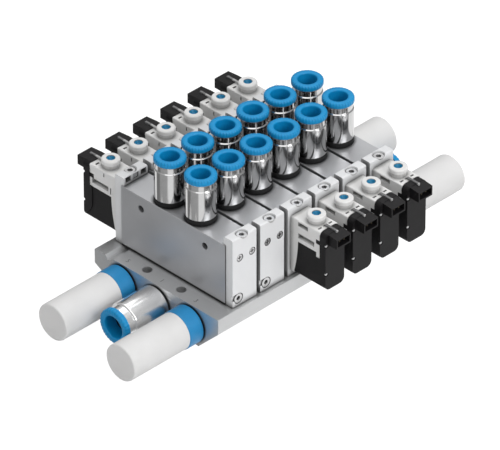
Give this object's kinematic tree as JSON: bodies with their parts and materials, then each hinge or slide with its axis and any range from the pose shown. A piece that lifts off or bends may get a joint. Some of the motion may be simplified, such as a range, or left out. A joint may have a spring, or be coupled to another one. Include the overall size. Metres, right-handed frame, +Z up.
{
  "type": "pneumatic valve island",
  "caption": "Row of in-line solenoid air valves on a manifold rail, with push-in tube fittings on top, a supply fitting and silencers at both rail ends.",
  "frame": {"origin": "centre of the manifold rail's underside", "axes": "+X along the valves towards the right-hand pilots, +Y along the rail towards its rear end, +Z up"},
  "size_m": [0.1196, 0.1944, 0.0703],
  "materials": {
    "aluminium": "satin anodised",
    "spool_aluminium": "ground",
    "cover_plastic": "moulded, light grey",
    "white_plastic": "moulded, white",
    "black_plastic": "fine eroded",
    "blue_plastic": "moulded, blue",
    "nickel": "polished nickel plate",
    "steel": "zinc plated",
    "contact_metal": "gold flashed",
    "rubber": "matt black",
    "silencer_foam": "porous white",
    "clear_plastic": "smoked clear"
  },
  "bodies": {
    "island": {"manifold_rail": "aluminium", "pilot_end_covers": "cover_plastic", "plain_end_cover_1": "cover_plastic", "plain_end_cover_2": "cover_plastic", "pilot_heads_left": "white_plastic", "pilot_heads_right": "white_plastic", "solenoid_coils": "black_plastic", "plug_covers": "black_plastic", "light_guides": "clear_plastic", "contact_pins": "contact_metal", "cover_screws": "steel", "pilot_armatures": "steel", "mounting_screws": "steel", "end_cover_screws_and_plugs": "steel", "valve_gaskets": "rubber", "fitting_bodies": "nickel", "fitting_seals": "rubber", "tube_seals": "rubber", "grip_rings": "steel", "silencer_bases": "blue_plastic", "silencer_foams": "silencer_foam", "silencer_seals": "rubber", "valve_body_1": "aluminium", "valve_body_2": "aluminium", "valve_body_3": "aluminium", "valve_body_4": "aluminium", "valve_body_5": "aluminium", "valve_body_6": "aluminium"},
    "override_button_left_1": {"override_button_left_1": "blue_plastic"},
    "override_button_left_2": {"override_button_left_2": "blue_plastic"},
    "override_button_left_3": {"override_button_left_3": "blue_plastic"},
    "override_button_right_3": {"override_button_right_3": "blue_plastic"},
    "override_button_left_4": {"override_button_left_4": "blue_plastic"},
    "override_button_right_4": {"override_button_right_4": "blue_plastic"},
    "override_button_left_5": {"override_button_left_5": "blue_plastic"},
    "override_button_right_5": {"override_button_right_5": "blue_plastic"},
    "override_button_left_6": {"override_button_left_6": "blue_plastic"},
    "override_button_right_6": {"override_button_right_6": "blue_plastic"},
    "release_ring_4_1": {"release_ring_4_1": "blue_plastic"},
    "release_ring_2_1": {"release_ring_2_1": "blue_plastic"},
    "release_ring_4_2": {"release_ring_4_2": "blue_plastic"},
    "release_ring_2_2": {"release_ring_2_2": "blue_plastic"},
    "release_ring_4_3": {"release_ring_4_3": "blue_plastic"},
    "release_ring_2_3": {"release_ring_2_3": "blue_plastic"},
    "release_ring_4_4": {"release_ring_4_4": "blue_plastic"},
    "release_ring_2_4": {"release_ring_2_4": "blue_plastic"},
    "release_ring_4_5": {"release_ring_4_5": "blue_plastic"},
    "release_ring_2_5": {"release_ring_2_5": "blue_plastic"},
    "release_ring_4_6": {"release_ring_4_6": "blue_plastic"},
    "release_ring_2_6": {"release_ring_2_6": "blue_plastic"},
    "supply_release_ring_front": {"supply_release_ring_front": "blue_plastic"},
    "supply_release_ring_rear": {"supply_release_ring_rear": "blue_plastic"},
    "spool_1": {"spool_1": "spool_aluminium"},
    "spool_2": {"spool_2": "spool_aluminium"},
    "spool_3": {"spool_3": "spool_aluminium"},
    "spool_4": {"spool_4": "spool_aluminium"},
    "spool_5": {"spool_5": "spool_aluminium"},
    "spool_6": {"spool_6": "spool_aluminium"}
  },
  "joints": [
    {"name": "override_button_left_1_slide", "type": "slide", "parent": "island", "child": "override_button_left_1", "axis": [0, 0, -1], "range_m": [0, 0.001], "stiffness_N_per_m": 400, "springref_m": -0.001},
    {"name": "override_button_left_2_slide", "type": "slide", "parent": "island", "child": "override_button_left_2", "axis": [0, 0, -1], "range_m": [0, 0.001], "stiffness_N_per_m": 400, "springref_m": -0.001},
    {"name": "override_button_left_3_slide", "type": "slide", "parent": "island", "child": "override_button_left_3", "axis": [0, 0, -1], "range_m": [0, 0.001], "stiffness_N_per_m": 400, "springref_m": -0.001},
    {"name": "override_button_right_3_slide", "type": "slide", "parent": "island", "child": "override_button_right_3", "axis": [0, 0, -1], "range_m": [0, 0.001], "stiffness_N_per_m": 400, "springref_m": -0.001},
    {"name": "override_button_left_4_slide", "type": "slide", "parent": "island", "child": "override_button_left_4", "axis": [0, 0, -1], "range_m": [0, 0.001], "stiffness_N_per_m": 400, "springref_m": -0.001},
    {"name": "override_button_right_4_slide", "type": "slide", "parent": "island", "child": "override_button_right_4", "axis": [0, 0, -1], "range_m": [0, 0.001], "stiffness_N_per_m": 400, "springref_m": -0.001},
    {"name": "override_button_left_5_slide", "type": "slide", "parent": "island", "child": "override_button_left_5", "axis": [0, 0, -1], "range_m": [0, 0.001], "stiffness_N_per_m": 400, "springref_m": -0.001},
    {"name": "override_button_right_5_slide", "type": "slide", "parent": "island", "child": "override_button_right_5", "axis": [0, 0, -1], "range_m": [0, 0.001], "stiffness_N_per_m": 400, "springref_m": -0.001},
    {"name": "override_button_left_6_slide", "type": "slide", "parent": "island", "child": "override_button_left_6", "axis": [0, 0, -1], "range_m": [0, 0.001], "stiffness_N_per_m": 400, "springref_m": -0.001},
    {"name": "override_button_right_6_slide", "type": "slide", "parent": "island", "child": "override_button_right_6", "axis": [0, 0, -1], "range_m": [0, 0.001], "stiffness_N_per_m": 400, "springref_m": -0.001},
    {"name": "release_ring_4_1_slide", "type": "slide", "parent": "island", "child": "release_ring_4_1", "axis": [0, 0, -1], "range_m": [0, 0.001], "stiffness_N_per_m": 500, "springref_m": -0.001},
    {"name": "release_ring_2_1_slide", "type": "slide", "parent": "island", "child": "release_ring_2_1", "axis": [0, 0, -1], "range_m": [0, 0.001], "stiffness_N_per_m": 500, "springref_m": -0.001},
    {"name": "release_ring_4_2_slide", "type": "slide", "parent": "island", "child": "release_ring_4_2", "axis": [0, 0, -1], "range_m": [0, 0.001], "stiffness_N_per_m": 500, "springref_m": -0.001},
    {"name": "release_ring_2_2_slide", "type": "slide", "parent": "island", "child": "release_ring_2_2", "axis": [0, 0, -1], "range_m": [0, 0.001], "stiffness_N_per_m": 500, "springref_m": -0.001},
    {"name": "release_ring_4_3_slide", "type": "slide", "parent": "island", "child": "release_ring_4_3", "axis": [0, 0, -1], "range_m": [0, 0.001], "stiffness_N_per_m": 500, "springref_m": -0.001},
    {"name": "release_ring_2_3_slide", "type": "slide", "parent": "island", "child": "release_ring_2_3", "axis": [0, 0, -1], "range_m": [0, 0.001], "stiffness_N_per_m": 500, "springref_m": -0.001},
    {"name": "release_ring_4_4_slide", "type": "slide", "parent": "island", "child": "release_ring_4_4", "axis": [0, 0, -1], "range_m": [0, 0.001], "stiffness_N_per_m": 500, "springref_m": -0.001},
    {"name": "release_ring_2_4_slide", "type": "slide", "parent": "island", "child": "release_ring_2_4", "axis": [0, 0, -1], "range_m": [0, 0.001], "stiffness_N_per_m": 500, "springref_m": -0.001},
    {"name": "release_ring_4_5_slide", "type": "slide", "parent": "island", "child": "release_ring_4_5", "axis": [0, 0, -1], "range_m": [0, 0.001], "stiffness_N_per_m": 500, "springref_m": -0.001},
    {"name": "release_ring_2_5_slide", "type": "slide", "parent": "island", "child": "release_ring_2_5", "axis": [0, 0, -1], "range_m": [0, 0.001], "stiffness_N_per_m": 500, "springref_m": -0.001},
    {"name": "release_ring_4_6_slide", "type": "slide", "parent": "island", "child": "release_ring_4_6", "axis": [0, 0, -1], "range_m": [0, 0.001], "stiffness_N_per_m": 500, "springref_m": -0.001},
    {"name": "release_ring_2_6_slide", "type": "slide", "parent": "island", "child": "release_ring_2_6", "axis": [0, 0, -1], "range_m": [0, 0.001], "stiffness_N_per_m": 500, "springref_m": -0.001},
    {"name": "supply_release_ring_front_slide", "type": "slide", "parent": "island", "child": "supply_release_ring_front", "axis": [0, 1, 0], "range_m": [0, 0.001], "stiffness_N_per_m": 500, "springref_m": -0.001},
    {"name": "supply_release_ring_rear_slide", "type": "slide", "parent": "island", "child": "supply_release_ring_rear", "axis": [0, -1, 0], "range_m": [0, 0.001], "stiffness_N_per_m": 500, "springref_m": -0.001},
    {"name": "spool_1_slide", "type": "slide", "parent": "island", "child": "spool_1", "axis": [1, 0, 0], "range_m": [0, 0.0025], "stiffness_N_per_m": 500, "springref_m": -0.004},
    {"name": "spool_2_slide", "type": "slide", "parent": "island", "child": "spool_2", "axis": [1, 0, 0], "range_m": [0, 0.0025], "stiffness_N_per_m": 500, "springref_m": -0.004},
    {"name": "spool_3_slide", "type": "slide", "parent": "island", "child": "spool_3", "axis": [1, 0, 0], "range_m": [0, 0.0025]},
    {"name": "spool_4_slide", "type": "slide", "parent": "island", "child": "spool_4", "axis": [1, 0, 0], "range_m": [0, 0.0025]},
    {"name": "spool_5_slide", "type": "slide", "parent": "island", "child": "spool_5", "axis": [1, 0, 0], "range_m": [0, 0.0025]},
    {"name": "spool_6_slide", "type": "slide", "parent": "island", "child": "spool_6", "axis": [1, 0, 0], "range_m": [0, 0.0025]}
  ]
}
